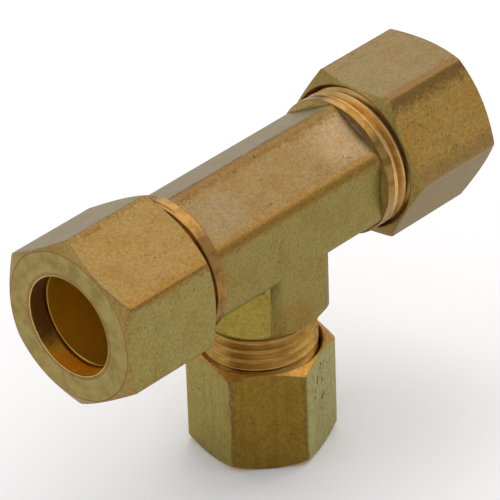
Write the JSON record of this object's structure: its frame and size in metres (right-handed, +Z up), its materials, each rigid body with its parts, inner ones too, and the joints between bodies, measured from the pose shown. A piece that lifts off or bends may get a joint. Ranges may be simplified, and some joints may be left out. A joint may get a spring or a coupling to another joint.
{
  "type": "compression union tee",
  "caption": "Brass compression tee: a hexagonal body with threaded ends, hexagon nuts and sealing sleeves, for a run of tube with a smaller branch.",
  "frame": {"origin": "middle of the branch nut's end face, which the fitting stands on", "axes": "+X along the run towards the right port, +Z up from the branch port to the run, -Y towards the viewer"},
  "size_m": [0.0706, 0.0252, 0.0483],
  "materials": {
    "tee_brass": "tumbled brass, slightly dulled, with bright turned threads",
    "run_nut_brass": "drawn hexagon brass, fine speckle, turned ends",
    "branch_nut_brass": "drawn hexagon brass with dark pits and draw marks",
    "sleeve_brass": "bright turned brass"
  },
  "bodies": {
    "tee": {"tee_body": "tee_brass"},
    "left_sleeve": {"left_sleeve": "sleeve_brass"},
    "left_nut": {"left_nut": "run_nut_brass"},
    "right_sleeve": {"right_sleeve": "sleeve_brass"},
    "right_nut": {"right_nut": "run_nut_brass"},
    "branch_sleeve": {"branch_sleeve": "sleeve_brass"},
    "branch_nut": {"branch_nut": "branch_nut_brass"}
  },
  "joints": [
    {"name": "left_sleeve_travel", "type": "slide", "parent": "tee", "child": "left_sleeve", "axis": [-1, 0, 0], "range_m": [0, 0.00826]},
    {"name": "left_nut_turn", "type": "hinge", "parent": "left_sleeve", "child": "left_nut", "pos_m": [0, 0, 0.0357], "axis": [-1, 0, 0], "range_deg": [0, 1980]},
    {"name": "right_sleeve_travel", "type": "slide", "parent": "tee", "child": "right_sleeve", "axis": [1, 0, 0], "range_m": [0, 0.00826]},
    {"name": "right_nut_turn", "type": "hinge", "parent": "right_sleeve", "child": "right_nut", "pos_m": [0, 0, 0.0357], "axis": [1, 0, 0], "range_deg": [0, 1980]},
    {"name": "branch_sleeve_travel", "type": "slide", "parent": "tee", "child": "branch_sleeve", "axis": [0, 0, -1], "range_m": [0, 0.00826]},
    {"name": "branch_nut_turn", "type": "hinge", "parent": "branch_sleeve", "child": "branch_nut", "pos_m": [0, 0, 0.0357], "axis": [0, 0, -1], "range_deg": [0, 1980]}
  ],
  "couplings": [
    {"joint": "left_sleeve_travel", "follows": "left_nut_turn", "m_per_rad": 0.00023873},
    {"joint": "right_sleeve_travel", "follows": "right_nut_turn", "m_per_rad": 0.00023873},
    {"joint": "branch_sleeve_travel", "follows": "branch_nut_turn", "m_per_rad": 0.00023873}
  ]
}
